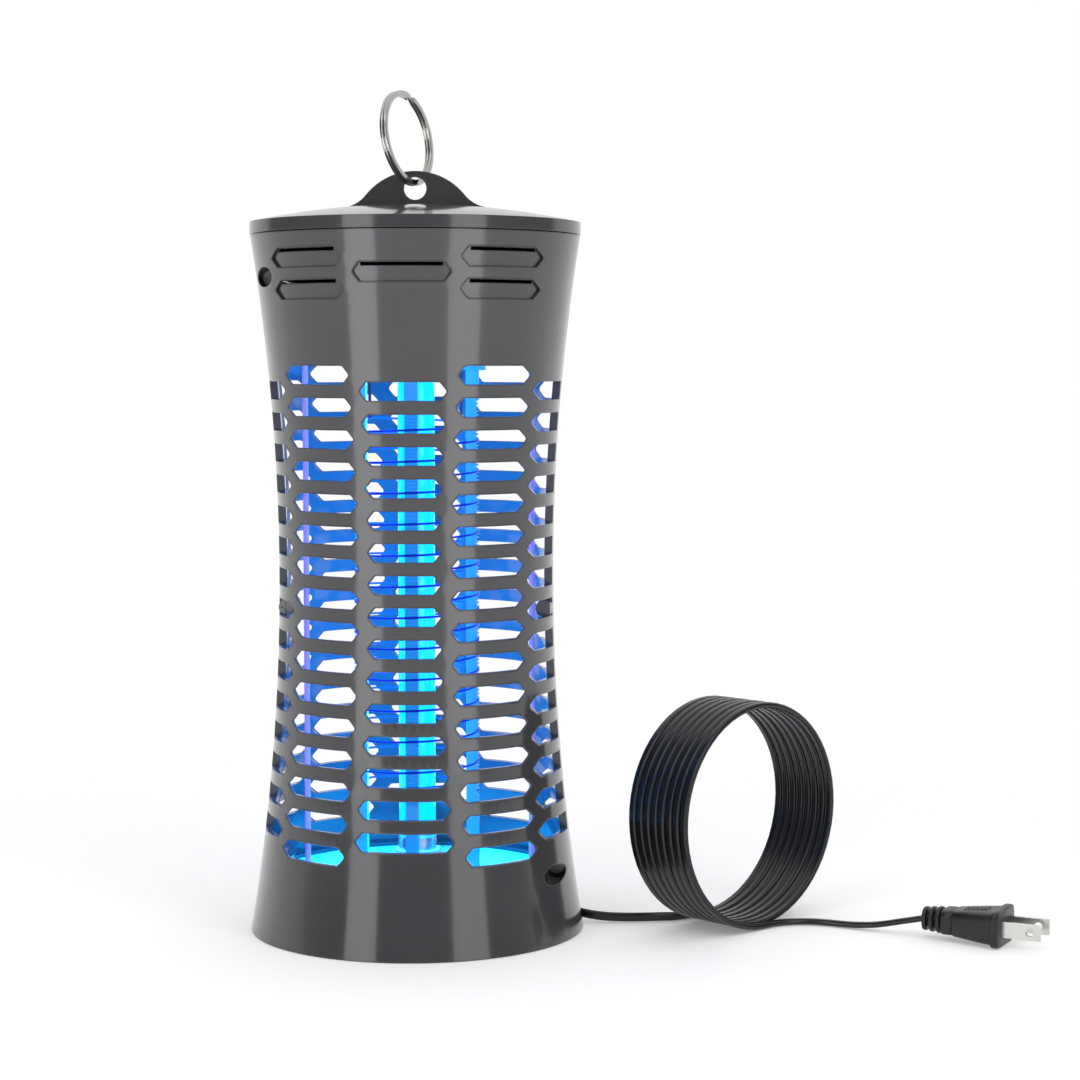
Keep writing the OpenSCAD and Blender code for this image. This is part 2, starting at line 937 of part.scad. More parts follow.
module driver_board() {
  color("darkgreen")
    difference() {
      translate([-board_l / 2, -board_w / 2, board_z])
        cube([board_l, board_w, board_t]);
      for (x = [-1, 1])
        for (y = [-1, 1])
          translate([x * board_hole_x, y * board_hole_y, board_z - 1])
            cylinder(d = board_screw_d + 0.5, h = board_t + 2);
    }
}

module board_screws() {
  color("silver")
    for (x = [-1, 1])
      for (y = [-1, 1])
        translate([x * board_hole_x, y * board_hole_y, board_top]) {
          cylinder(d = board_head_d, h = board_head_t);
          translate([0, 0, -board_t - board_screw_reach])
            cylinder(d = board_screw_d, h = board_t + board_screw_reach + eps);
        }
}

// A wound core: two flat ends, a square bobbin and the winding between them
module wound_core(long, wide, high) {
  cheek = 1.2;
  core_t = high / 3;
  for (x = [-long / 2, long / 2 - cheek])
    translate([x, -wide / 2, 0])
      cube([cheek, wide, high]);
  translate([-long / 2 - 3, -wide / 4, high / 2 - core_t / 2])
    cube([long + 6, wide / 2, core_t]);
  translate([-long / 2, 0, high / 2])
    rotate([0, 90, 0])
      cylinder(d = high - 2.4, h = long);
}

module hv_transformer() {
  color("khaki")
    translate([-16, 7, board_top])
      wound_core(20, 18, 16);
}

module lamp_choke() {
  color("khaki")
    translate([13, 9, board_top])
      wound_core(14, 14, 12);
}

module capacitors() {
  color("royalblue") {
    translate([-25, -12, board_top])
      cylinder(d = 10, h = 17);
    translate([-13, -12, board_top])
      cylinder(d = 8, h = 13);
  }
  color("firebrick")
    translate([-5, -18, board_top])
      cube([13, 6, 10]);
}

module board_parts() {
  color("black")
    for (i = [0:3])
      translate([-3 + i * 5, -5, board_top + 1.4])
        rotate([90, 0, 0])
          cylinder(d = 2.6, h = 5, center = true, $fn = 24);
  color("tan")
    for (i = [0, 1])
      translate([11 + i * 5, -14, board_top + 1.2])
        rotate([90, 0, 0])
          cylinder(d = 2.4, h = 7, center = true, $fn = 24);
}

module terminal_block() {
  color("seagreen")
    translate([24, -6, board_top])
      difference() {
        cube([9, 12, 9]);
        for (y = [3, 9])
          translate([4.5, y, 3])
            cylinder(d = 3.4, h = 8, $fn = 24);
      }
}

module mains_inner_lead() {
  color("plum")
    wire_path([relief_end + 31 * [-cos(relief_a), -sin(relief_a), 0],
      [25, 49.5, 8], [24.6, 43, 12], [30.6, 37, 14], [42, 25.4, 14],
      [lead_x, lead_y, 14.5], [lead_x, lead_y, board_top + 6], [38, -3, board_top + 6],
      [33.4, -3, board_top + 4.5]], lead_d);
}

module lamp_lead() {
  z = floor_z - lead_d / 2 - fit;
  lead_end = (lower_stem_r + fit) / lead_r;
  color("plum")
    wire_path([[-board_l / 2 + 3, 3, board_top], [-board_l / 2 + 3, 3, board_top + 5],
      [-lead_x, lead_y, board_top + 2], [-lead_x, lead_y, z],
      [-lead_x * lead_end, lead_y * lead_end, z]], lead_d);
}

// ---- dish

module dish() {
  color("dimgray")
    difference() {
      union() {
        translate([0, 0, dish_floor_z])
          cylinder(r = dish_r, h = dish_top - dish_floor_z);
        for (a = lug_at)
          sector(dish_r - 1, lug_out, a, a + lug_span, lug_z, lug_z + lug_t);
        // Grip bar for the fingers
        translate([-grip_l / 2, -grip_w / 2, grip_z])
          cube([grip_l, grip_w, dish_floor_z - grip_z + eps]);
      }
      translate([0, 0, dish_floor_z + dish_wall])
        cylinder(r = dish_r - dish_wall, h = far);
    }
}

// ---- mains lead and plug

module cord_relief() {
  lip_r = relief_d / 2 + relief_lip;
  neck_z = relief_l + relief_lip_l;
  color("black")
    relief_place()
      rotate_extrude()
        polygon([[0, 0], [relief_tip_d / 2, 0], [relief_d / 2, relief_l], [lip_r, relief_l],
          [lip_r, neck_z], [neck_d / 2, neck_z], [neck_d / 2, neck_z + neck_l],
          [lip_r, neck_z + neck_l], [lip_r, neck_z + neck_l + relief_lip_l],
          [0, neck_z + neck_l + relief_lip_l]]);
}

// The lead's flat section as eight points: across, then up
cord_section = [[cord_w / 2, cord_t / 5], [cord_w / 3, cord_t / 2], [-cord_w / 3, cord_t / 2],
  [-cord_w / 2, cord_t / 5], [-cord_w / 2, -cord_t / 5], [-cord_w / 3, -cord_t / 2],
  [cord_w / 3, -cord_t / 2], [cord_w / 2, -cord_t / 5]];

function unit(v) = v / norm(v);
function heading(route, i) = unit(route[min(i + 1, len(route) - 1)] - route[max(i - 1, 0)]);
function across(route, i) = unit(cross([0, 0, 1], heading(route, i)));
function upward(route, i) = cross(heading(route, i), across(route, i));
function cord_rings(route, section) = [for (i = [0:len(route) - 1])
  for (p = section)
    route[i] + p[0] * across(route, i) + p[1] * upward(route, i)];

module cord_sweep(route, section) {
  sides = len(section);
  last = (len(route) - 1) * sides;
  polyhedron(points = cord_rings(route, section), convexity = 6, faces = concat(
    [[for (k = [0:sides - 1]) k]],
    [[for (k = [sides - 1:-1:0]) last + k]],
    [for (i = [0:len(route) - 2])
      for (k = [0:sides - 1])
        [i * sides + k, (i + 1) * sides + k, (i + 1) * sides + (k + 1) % sides,
          i * sides + (k + 1) % sides]]));
}

// The first stretch stands on its edge, and the tail lies flat
module mains_cord() {
  color("black")
    cord_sweep(cord_route, [for (p = cord_section) [-p[1], p[0]]]);
}

module cord_tail() {
  color("black")
    cord_sweep(tail_route, cord_section);
}

module cord_coil() {
  long = coil_turns * coil_pitch + cord_w + 0.2;
  color("black")
    translate([coil_at[0], coil_at[1], coil_r])
      rotate([90, 0, coil_a + 90])
        translate([0, 0, -long / 2])
          tube(2 * coil_r, 2 * (coil_r - cord_t - 0.8), long);
}

module plug_place() {
  translate([plug_at[0], plug_at[1], plug_t / 2])
    rotate([0, 0, plug_a])
      rotate([0, 90, 0])
        children();
}

// A rounded block across the plug's axis: t high, w wide
module plug_slice(t, w, high) {
  round_r = 2.5;
  linear_extrude(high)
    union() {
      square([t - 2 * round_r, w], center = true);
      square([t, w - 2 * round_r], center = true);
      for (x = [-1, 1])
        for (y = [-1, 1])
          translate([x * (t / 2 - round_r), y * (w / 2 - round_r)])
            circle(r = round_r, $fn = 32);
    }
}

module plug_body() {
  body_z = plug_rib_l + plug_collar_l;
  flange_z = body_z + plug_body_l;
  color("black")
    plug_place() {
      cylinder(d1 = plug_stem[0], d2 = plug_stem[1], h = plug_rib_l + eps);
      for (i = [0:2])
        translate([0, 0, 0.6 + i * plug_rib_step])
          cylinder(d = plug_rib_d + plug_rib_grow * i, h = plug_rib_t);
      translate([0, 0, plug_rib_l])
        plug_slice(plug_collar[0], plug_collar[1], plug_collar_l + eps);
      hull() {
        translate([0, 0, body_z])
          plug_slice(plug_neck[0], plug_neck[1], 0.5);
        translate([0, 0, flange_z - 0.5])
          plug_slice(plug_t - plug_shoulder[0], plug_w - plug_shoulder[1], 0.5);
      }
      translate([0, 0, flange_z - eps])
        plug_slice(plug_t, plug_w, plug_flange_l);
    }
}

module plug_blades() {
  z = plug_rib_l + plug_collar_l + plug_body_l + plug_flange_l - eps;
  color("silver")
    plug_place()
      for (s = [-1, 1])
        translate([-blade_w / 2, s * blade_gap / 2 - blade_t / 2, z])
          difference() {
            cube([blade_w, blade_t, blade_l]);
            translate([blade_w / 2, -1, blade_l - blade_hole_in])
              rotate([-90, 0, 0])
                cylinder(d = blade_hole_d, h = blade_t + 2, $fn = 24);
          }
}

lid();
hang_ring();
front_shell();
rear_shell();
shell_screws();
deck();
floor_plate();
comb_post_front();
comb_post_right();
comb_post_rear();
comb_post_left();
grid_wire_a();
grid_wire_b();
hv_leads();
uv_tube();
lamp_caps();
lamp_pins();
lamp_holder_upper();
lamp_holder_lower();
driver_board();
board_screws();
hv_transformer();
lamp_choke();
capacitors();
board_parts();
terminal_block();
mains_inner_lead();
lamp_lead();
dish();
cord_relief();
mains_cord();
cord_coil();
cord_tail();
plug_body();
plug_blades();
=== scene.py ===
import json
import math

import bmesh
import bpy
from mathutils import Matrix, Vector

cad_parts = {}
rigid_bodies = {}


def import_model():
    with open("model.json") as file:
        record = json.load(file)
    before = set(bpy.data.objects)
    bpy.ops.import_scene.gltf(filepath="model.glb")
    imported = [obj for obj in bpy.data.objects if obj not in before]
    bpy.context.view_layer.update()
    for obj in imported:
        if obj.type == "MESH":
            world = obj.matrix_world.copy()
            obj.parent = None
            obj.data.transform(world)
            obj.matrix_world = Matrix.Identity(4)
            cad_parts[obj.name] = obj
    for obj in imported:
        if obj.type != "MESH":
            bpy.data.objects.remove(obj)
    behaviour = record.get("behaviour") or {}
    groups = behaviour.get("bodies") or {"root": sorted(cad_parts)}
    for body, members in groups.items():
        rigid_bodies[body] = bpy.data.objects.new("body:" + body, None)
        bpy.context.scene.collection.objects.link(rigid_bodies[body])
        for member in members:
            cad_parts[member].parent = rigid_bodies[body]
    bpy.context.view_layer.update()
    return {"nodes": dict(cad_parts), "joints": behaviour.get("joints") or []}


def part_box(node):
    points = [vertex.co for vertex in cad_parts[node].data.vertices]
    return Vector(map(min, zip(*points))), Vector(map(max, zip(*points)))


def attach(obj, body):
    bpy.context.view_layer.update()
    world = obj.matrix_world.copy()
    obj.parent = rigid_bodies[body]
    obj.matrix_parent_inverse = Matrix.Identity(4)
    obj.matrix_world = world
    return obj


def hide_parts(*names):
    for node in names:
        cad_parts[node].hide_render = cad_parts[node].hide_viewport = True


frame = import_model()
nodes = frame["nodes"]
MM = 0.001
scene = bpy.context.scene


def deg(a):
    return math.radians(a)


# ---------------------------------------------------------------- camera

CAM_DIST = 1.04
CAM_HEIGHT = 0.2342
CAM_AZ = deg(5)
CAM_PITCH = deg(4.07)
CAM_YAW = deg(2.2)

cam_data = bpy.data.cameras.new("camera")
cam_data.lens = 84.3
cam_data.sensor_width = 36
cam_data.clip_start = 0.05
cam_data.clip_end = 50
camera = bpy.data.objects.new("camera", cam_data)
scene.collection.objects.link(camera)
camera.location = (CAM_DIST * math.sin(CAM_AZ), -CAM_DIST * math.cos(CAM_AZ), CAM_HEIGHT)
camera.rotation_euler = (math.pi / 2 - CAM_PITCH, 0, CAM_YAW)
scene.camera = camera


# ---------------------------------------------------------------- node helpers

def new_material(name):
    m = bpy.data.materials.new(name)
    m.use_nodes = True
    tree = m.node_tree
    return m, tree, tree.nodes["Principled BSDF"]


def add(tree, kind, **settings):
    n = tree.nodes.new(kind)
    for key, value in settings.items():
        if key in n.inputs:
            n.inputs[key].default_value = value
        else:
            setattr(n, key, value)
    return n


def ramp(tree, source, stops):
    """A colour ramp from a value: stops are (position, colour)."""
    n = tree.nodes.new("ShaderNodeValToRGB")
    while len(n.color_ramp.elements) < len(stops):
        n.color_ramp.elements.new(0.5)
    for e, (at, colour) in zip(n.color_ramp.elements, stops):
        e.position = at
        e.color = (*colour, 1)
    tree.links.new(source, n.inputs["Fac"])
    return n.outputs["Color"]


def grey(v):
    return (v, v, v)


def plastic(name, colour, rough, spread=0.12, grain=900.0, bump=0.03, round_by=0.0, coat=0.0,
            metallic=0.0, stretch=(1, 1, 1), rough_spread=0.06):
    """Moulded plastic or bare metal: colour and gloss vary slowly, with a fine grain as bump."""
    m, tree, bsdf = new_material(name)
    link = tree.links.new
    place = add(tree, "ShaderNodeTexCoord")
    mapping = add(tree, "ShaderNodeMapping")
    mapping.inputs["Scale"].default_value = stretch
    link(place.outputs["Object"], mapping.inputs["Vector"])
    slow = add(tree, "ShaderNodeTexNoise", Scale=28.0, Detail=4.0, Roughness=0.55)
    link(mapping.outputs["Vector"], slow.inputs["Vector"])
    lo = tuple(c * (1 - spread) for c in colour)
    hi = tuple(min(1, c * (1 + spread)) for c in colour)
    tone = ramp(tree, slow.outputs["Fac"], [(0.3, lo), (0.7, hi)])
    link(tone, bsdf.inputs["Base Color"])
    smoother = max(0.02, rough - rough_spread)
    gloss = ramp(tree, slow.outputs["Fac"],
                 [(0.25, grey(smoother)), (0.75, grey(rough + rough_spread))])
    link(gloss, bsdf.inputs["Roughness"])
    fine = add(tree, "ShaderNodeTexNoise", Scale=grain, Detail=2.0)
    link(mapping.outputs["Vector"], fine.inputs["Vector"])
    relief = add(tree, "ShaderNodeBump", Strength=bump, Distance=0.0004)
    link(fine.outputs["Fac"], relief.inputs["Height"])
    if round_by:
        soft = add(tree, "ShaderNodeBevel", samples=4)
        soft.inputs["Radius"].default_value = round_by
        link(soft.outputs["Normal"], relief.inputs["Normal"])
    link(relief.outputs["Normal"], bsdf.inputs["Normal"])
    bsdf.inputs["Metallic"].default_value = metallic
    bsdf.inputs["IOR"].default_value = 1.5
    bsdf.inputs["Coat Weight"].default_value = coat
    bsdf.inputs["Coat Roughness"].default_value = 0.06
    return m


# Sets an emission: on the UV lamp it is the lamp's own light, on every other part it is painted lamp
# light
def glow(material, colour, strength):
    bsdf = material.node_tree.nodes["Principled BSDF"]
    bsdf.inputs["Emission Color"].default_value = (*colour, 1)
    bsdf.inputs["Emission Strength"].default_value = strength
    return material


# ---------------------------------------------------------------- mesh helpers

SHARP_ANGLE = deg(42)
LATHE_SIDES = 64


def add_mesh(name, verts, faces, material, body, replaces=()):
    mesh = bpy.data.meshes.new(name)
    mesh.from_pydata([tuple(v) for v in verts], [], faces)
    mesh.validate()
    bm = bmesh.new()
    bm.from_mesh(mesh)
    bmesh.ops.remove_doubles(bm, verts=bm.verts, dist=1e-7)
    bmesh.ops.recalc_face_normals(bm, faces=bm.faces)
    bm.to_mesh(mesh)
    bm.free()
    mesh.polygons.foreach_set("use_smooth", [True] * len(mesh.polygons))
    mesh.set_sharp_from_angle(angle=SHARP_ANGLE)
    mesh.materials.append(material)
    obj = bpy.data.objects.new(name, mesh)
    scene.collection.objects.link(obj)
    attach(obj, body)
    if replaces:
        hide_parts(*replaces)
    return obj


def joined(parts):
    """Several (verts, faces) as one."""
    verts, faces = [], []
    for v, f in parts:
        base = len(verts)
        verts += [tuple(p) for p in v]
        faces += [tuple(base + i for i in face) for face in f]
    return verts, faces


def lathe(profile, sides=LATHE_SIDES, at=(0, 0, 0)):
    """Turns (radius, height) points about Z. Radius 0 at an end closes it."""
    verts, faces = [], []
    for r, z in profile:
        for k in range(sides):
            a = 2 * math.pi * k / sides
            verts.append((r * math.cos(a), r * math.sin(a), z))
    for i in range(len(profile) - 1):
        for k in range(sides):
            a, b = i * sides + k, i * sides + (k + 1) % sides
            faces.append((a, b, b + sides, a + sides))
    return [Vector(at) + Vector(v) for v in verts], faces


def sweep(points, acrosses, ups, section, closed=False):
    """A section of (across, up) points swept along points."""
    verts, faces = [], []
    n = len(section)
    for p, a, u in zip(points, acrosses, ups):
        for x, y in section:
            verts.append(Vector(p) + x * Vector(a) + y * Vector(u))
    rows = len(points)
    for i in range(rows if closed else rows - 1):
        j = (i + 1) % rows
        for k in range(n):
            faces.append((i * n + k, i * n + (k + 1) % n, j * n + (k + 1) % n, j * n + k))
    if not closed:
        faces.append(tuple(range(n - 1, -1, -1)))
        faces.append(tuple((rows - 1) * n + k for k in range(n)))
    return verts, faces


def circle(r, n):
    angles = [2 * math.pi * k / n for k in range(n)]
    return [(r * math.cos(a), r * math.sin(a)) for a in angles]


def smooth_path(points, steps):
    """Catmull-Rom through points, with steps points in each stretch."""
    pts = [Vector(p) for p in points]
    pts = [2 * pts[0] - pts[1]] + pts + [2 * pts[-1] - pts[-2]]
    out = []
    for i in range(1, len(pts) - 2):
        p0, p1, p2, p3 = pts[i - 1:i + 3]
        for k in range(steps):
            t = k / steps
            out.append(0.5 * (2 * p1 + (p2 - p0) * t + (2 * p0 - 5 * p1 + 4 * p2 - p3) * t * t
                              + (3 * p1 - p0 - 3 * p2 + p3) * t ** 3))
    return out + [pts[-2]]


# ---------------------------------------------------------------- materials

housing_mat = plastic("housing_plastic", (0.050, 0.050, 0.056), 0.15, spread=0.06, grain=1400,
                      bump=0.015, round_by=0.0007, coat=0.4, rough_spread=0.03)
deck_mat = plastic("deck_plastic", (0.42, 0.48, 0.54), 0.45, round_by=0.0004)
# The comb posts' blue emission is painted lamp light showing through the plastic, not a light of their
# own
comb_painted_glow_mat = glow(plastic("comb_plastic", (0.10, 0.36, 0.62), 0.35, round_by=0.0003),
                (0.0, 0.34, 1.0), 0.36)
holder_mat = plastic("holder_plastic", (0.72, 0.74, 0.74), 0.4, round_by=0.0004)
chrome_mat = plastic("ring_chrome", (0.46, 0.45, 0.43), 0.1, metallic=1.0, spread=0.05, grain=120,
                     bump=0.0, rough_spread=0.03)
# The screw steel is darker than bare steel so the deep screw holes read nearly black: this darkening is
# painted shade
screw_painted_shade_mat = plastic("screw_steel", (0.20, 0.20, 0.21), 0.3, metallic=1.0, bump=0.03)
# The grid steel's dark blue colour and blue emission are painted lamp light on the wires
grid_painted_glow_mat = glow(plastic("grid_steel", (0.02, 0.04, 0.22), 0.35, metallic=0.7, bump=0.02),
                (0.0, 0.01, 0.6), 0.5)
aluminium_mat = plastic("lamp_aluminium", (0.66, 0.67, 0.68), 0.35, metallic=1.0, stretch=(1, 1, 20))
brass_mat = plastic("pin_brass", (0.72, 0.52, 0.24), 0.25, metallic=1.0)
nickel_mat = plastic("blade_nickel", (0.64, 0.63, 0.60), 0.2, metallic=1.0, bump=0.06, round_by=0.0003)
cord_mat = plastic("cord_pvc", (0.004, 0.004, 0.005), 0.24, spread=0.2, grain=2200, bump=0.05)
plug_mat = plastic("plug_plastic", (0.006, 0.006, 0.007), 0.34, spread=0.2, grain=1800, bump=0.12)
# The leads' blue-violet emission is painted lamp light, not a light of their own
lead_painted_glow_mat = glow(plastic("lead_pvc", (0.62, 0.50, 0.86), 0.4), (0.22, 0.16, 0.95), 0.45)
board_mat = plastic("board_laminate", (0.03, 0.17, 0.06), 0.35, spread=0.2)
tape_mat = plastic("winding_tape", (0.62, 0.48, 0.12), 0.4, spread=0.2)
sleeve_mat = plastic("capacitor_sleeve", (0.02, 0.05, 0.20), 0.3)
epoxy_mat = plastic("part_epoxy", (0.02, 0.02, 0.02), 0.4)
terminal_mat = plastic("terminal_plastic", (0.04, 0.25, 0.10), 0.4, round_by=0.0003)
hv_mat = plastic("hv_insulation", (0.09, 0.01, 0.03), 0.4)
lamp_mat = glow(plastic("lamp_glass", (0.02, 0.30, 0.75), 0.12), (0.0, 0.50, 1.0), 1.35)

for node, material in {
    "lid": housing_mat, "front_shell": housing_mat, "rear_shell": housing_mat,
    "dish": housing_mat, "deck": deck_mat, "floor_plate": deck_mat,
    "comb_post_front": comb_painted_glow_mat, "comb_post_right": comb_painted_glow_mat, "comb_post_rear": comb_painted_glow_mat,
    "comb_post_left": comb_painted_glow_mat, "hang_ring": chrome_mat, "shell_screws": screw_painted_shade_mat,
    "board_screws": screw_painted_shade_mat, "grid_wire_a": grid_painted_glow_mat, "grid_wire_b": grid_painted_glow_mat,
    "hv_leads": hv_mat, "uv_tube": lamp_mat, "lamp_caps": aluminium_mat, "lamp_pins": brass_mat,
    "lamp_holder_upper": holder_mat, "lamp_holder_lower": holder_mat,
    "driver_board": board_mat, "hv_transformer": tape_mat, "lamp_choke": tape_mat,
    "capacitors": sleeve_mat, "board_parts": epoxy_mat, "terminal_block": terminal_mat,
    "mains_inner_lead": lead_painted_glow_mat, "lamp_lead": lead_painted_glow_mat, "cord_relief": cord_mat,
    "mains_cord": cord_mat, "cord_coil": cord_mat, "cord_tail": cord_mat,
    "plug_body": plug_mat, "plug_blades": nickel_mat,
}.items():
    held = nodes[node].data.materials
    held.clear()
    held.append(material)

# ---------------------------------------------------------------- mains lead

CORD_W = 3.8 * MM
CORD_T = 2.4 * MM
COIL_AT = Vector((0.1311, 0.0083, 0.047))
COIL_A = deg(-45)
COIL_U = Vector((math.cos(COIL_A), math.sin(COIL_A), 0))
COIL_H = Vector((-math.sin(COIL_A), math.cos(COIL_A), 0))
COIL_R = 45.75 * MM
COIL_PITCH = 4.1 * MM
COIL_TURNS = 8
PER_TURN = 60
COIL_LOOSE, LOOSE_WAVE = 0.25 * MM, 4.61124
ROUTE_STEPS = 3
STAND_TO_POINT = 9
CORE_POINTS, CORE_FROM, CORE_STEP = 9, -116, 29

cord_route = [(50, 25.5, 6), (54.4, 21.2, 5.6), (58.8, 16.9, 5), (63.1, 12.9, 4.2),
              (67.8, 9.8, 3.4), (73.2, 8.2, 2.7), (79.2, 7.7, 2.2), (86, 7.8, 2), (93, 8.2, 2),
              (100, 9.2, 2), (106.8, 11.4, 1.75), (113.4, 15, 1.4), (119.5, 19.9, 1.25)]
tail_route = [(142.7, -3.3, 1.25), (148.6, 2, 1.3), (155.9, 5, 1.3), (163.9, 5.5, 1.3),
              (171.5, 3.3, 1.3), (180.6, -0.9, 1.5), (189.6, -5.1, 2.6), (198.7, -9.3, 4.9),
              (207.7, -13.5, 7.3)]


def coil_point(s):
    """The lead's line after s turns. Turns vary a little in radius, but not where the lead joins."""
    a = 2 * math.pi * s
    ease = min(1.0, s * 2, (COIL_TURNS - s) * 2)
    r = COIL_R - abs(COIL_LOOSE * ease * math.sin(LOOSE_WAVE * s))
    return (COIL_AT + (-COIL_TURNS / 2 + s) * COIL_PITCH * COIL_U
            + r * (math.sin(a) * COIL_H - math.cos(a) * Vector((0, 0, 1))))


def mm(points):
    return [Vector(p) * MM for p in points]


head = smooth_path(mm(cord_route), ROUTE_STEPS)[:-1]
turns = [coil_point(i / PER_TURN) for i in range(COIL_TURNS * PER_TURN + 1)]
tail = smooth_path(mm(tail_route), ROUTE_STEPS)[1:]
line = head + turns + tail
acrosses, ups = [], []
turn_from = STAND_TO_POINT * ROUTE_STEPS
for i in range(len(line)):
    t = (line[min(i + 1, len(line) - 1)] - line[max(i - 1, 0)]).normalized()
    if len(head) <= i < len(head) + len(turns):
        wide = COIL_U
    else:
        wide = Vector((t.y, -t.x, 0))
    wide = (wide - wide.dot(t) * t).normalized()
    # The first stretch stands on its edge, and turns flat before it joins the coil
    share = min(1.0, max(0.0, (i - turn_from) / (len(head) - turn_from)))
    turn = deg(90) * (1 - share * share * (3 - 2 * share))
    up = wide.cross(t).normalized()
    acrosses.append(math.cos(turn) * wide + math.sin(turn) * up)
    ups.append(math.cos(turn) * up - math.sin(turn) * wide)

# Two round cores moulded side by side, with a groove between them
lobe = CORD_T / 2
offset = CORD_W / 2 - lobe
section = []
for side in (1, -1):
    for k in range(CORE_POINTS):
        a = deg(CORE_FROM + CORE_STEP * k)
        section.append((side * (offset + lobe * math.cos(a)), side * lobe * math.sin(a)))
cord_verts, cord_faces = sweep(line, acrosses, ups, section)
mains_lead = add_mesh("mains_lead", cord_verts, cord_faces, cord_mat, "housing",
                      replaces=("mains_cord", "cord_coil", "cord_tail"))

# ---------------------------------------------------------------- plug

PLUG_AT = Vector((207.7, -13.5, 7.5)) * MM
PLUG_A = deg(-25)
PLUG_SIDES = 48
RELIEF_RINGS, RELIEF_FROM, RELIEF_PITCH = 3, 0.6, 3
RIBS, RIB_FROM, RIB_PITCH, RIB_HALF_W = 6, 18.6, 1.7, 3.5
# The plug's own frame: x up, y across, z along its axis towards the blades
PLUG_PLACE = (Matrix.Translation(PLUG_AT) @ Matrix.Rotation(PLUG_A, 4, "Z")
              @ Matrix.Rotation(deg(90), 4, "Y"))


def squircle(half_t, half_w, power):
    """A rounded block's outline: half_t along x, half_w along y."""
    out = []
    for k in range(PLUG_SIDES):
        a = 2 * math.pi * (k + 0.5) / PLUG_SIDES
        c, d = math.cos(a), math.sin(a)
        out.append((half_t * math.copysign(abs(c) ** (2 / power), c),
                    half_w * math.copysign(abs(d) ** (2 / power), d)))
    return out


def loft(levels, place):
    """Rings of (height along z, half_t, half_w, power), closed at both ends."""
    verts, faces = [], []
    n = PLUG_SIDES
    for z, half_t, half_w, power in levels:
        verts += [place @ (Vector((x, y, z)) * MM) for x, y in squircle(half_t, half_w, power)]
    for i in range(len(levels) - 1):
        for k in range(n):
            a, b = i * n + k, i * n + (k + 1) % n
            faces.append((a, b, b + n, a + n))
    faces.append(tuple(range(n - 1, -1, -1)))
    faces.append(tuple((len(levels) - 1) * n + k for k in range(n)))
    return verts, faces


# Each piece is its levels of (height, half_t, half_w, power): sleeve, collar, grip and face
sleeve = [(0, 2.4, 3.0, 2), (0.3, 2.9, 3.3, 2), (9.3, 3.5, 3.9, 2)]
collar = [(9.2, 4.5, 6.1, 4), (9.4, 5.0, 6.6, 4), (9.9, 5.2, 6.8, 4.5), (13.3, 5.2, 6.8, 4.5),
          (13.7, 5.1, 6.7, 4.5), (13.9, 4.9, 6.5, 4.5), (14.0, 4.9, 6.5, 4.5)]
grip = [(13.9, 4.7, 6.3, 5), (14.1, 5.2, 6.8, 5), (14.5, 5.45, 7.1, 5), (20, 5.9, 8.4, 5.5),
        (26, 6.35, 9.9, 6), (31.4, 6.75, 10.9, 6)]
face = [(31.3, 6.6, 10.9, 6), (31.35, 7.1, 11.4, 6), (31.6, 7.35, 11.65, 6.5), (32.0, 7.5, 11.8, 7),
        (34.0, 7.5, 11.8, 7), (34.4, 7.4, 11.7, 6.5), (34.62, 7.1, 11.4, 6)]
plug_parts = [loft(sleeve, PLUG_PLACE)]
for i in range(RELIEF_RINGS):
    z, r = RELIEF_FROM + RELIEF_PITCH * i, 4.8 + 0.3 * i
    levels = [(z + rise, r - less, r - less, 2.4)
              for rise, less in ((0, 0.5), (0.12, 0.15), (0.4, 0), (1.3, 0), (1.58, 0.15), (1.7, 0.5))]
    plug_parts.append(loft(levels, PLUG_PLACE))
plug_parts += [loft(levels, PLUG_PLACE) for levels in (collar, grip, face)]
# A small grip of cross ribs on each broad face
for side in (1, -1):
    for i in range(RIBS):
        z = RIB_FROM + RIB_PITCH * i
        x = side * (5.72 + (z - 18) * 0.083)
        rib = [(z - 0.42, 0.05, RIB_HALF_W - 0.3, 8), (z - 0.3, 0.3, RIB_HALF_W, 8),
               (z + 0.3, 0.3, RIB_HALF_W, 8), (z + 0.42, 0.05, RIB_HALF_W - 0.3, 8)]
        plug_parts.append(loft(rib, PLUG_PLACE @ Matrix.Translation((x * MM, 0, 0))))
plug_verts, plug_faces = joined(plug_parts)
plug = add_mesh("plug_moulding", plug_verts, plug_faces, plug_mat, "housing",
                replaces=("plug_body",))

# ---------------------------------------------------------------- split ring

ring_joint = [j for j in frame["joints"] if j["name"] == "ring_swing"][0]
HOLE = Vector(ring_joint["pos_m"])
RING_LEAN, RING_YAW = deg(9.4), deg(23.8)
RING_OUT, RING_WIRE, RING_TURN, RING_GAP = 19.5 * MM, 2.4 * MM, 1.45 * MM, 0.06 * MM
RING_REACH = 20.628 * MM
RING_EDGE_R = 0.45 * MM
RING_STEPS = 260
RING_START, RING_END = deg(158), deg(158 + 712)
CROSS_OVER, CROSS_STEEP = deg(13), 1.6
ring_place = (Matrix.Translation(HOLE) @ Matrix.Rotation(-RING_LEAN, 4, "Y")
              @ Matrix.Translation((0, 0, RING_REACH)) @ Matrix.Rotation(-RING_YAW, 4, "Z")
              @ Matrix.Rotation(deg(90), 4, "Y"))
ring_line, ring_out, ring_side = [], [], []
r = RING_OUT - RING_WIRE / 2
for i in range(RING_STEPS + 1):
    a = RING_START + (RING_END - RING_START) * i / RING_STEPS
    share = (a - (RING_START + RING_END) / 2) / CROSS_OVER
    # The wire steps over to its second turn half way
    side = 0.5 * math.tanh(CROSS_STEEP * share) * (RING_TURN + RING_GAP)
    ring_line.append(ring_place @ Vector((r * math.cos(a), r * math.sin(a), side)))
    ring_out.append((ring_place.to_3x3() @ Vector((math.cos(a), math.sin(a), 0))))
    ring_side.append(ring_place.to_3x3() @ Vector((0, 0, 1)))
ring_section = []
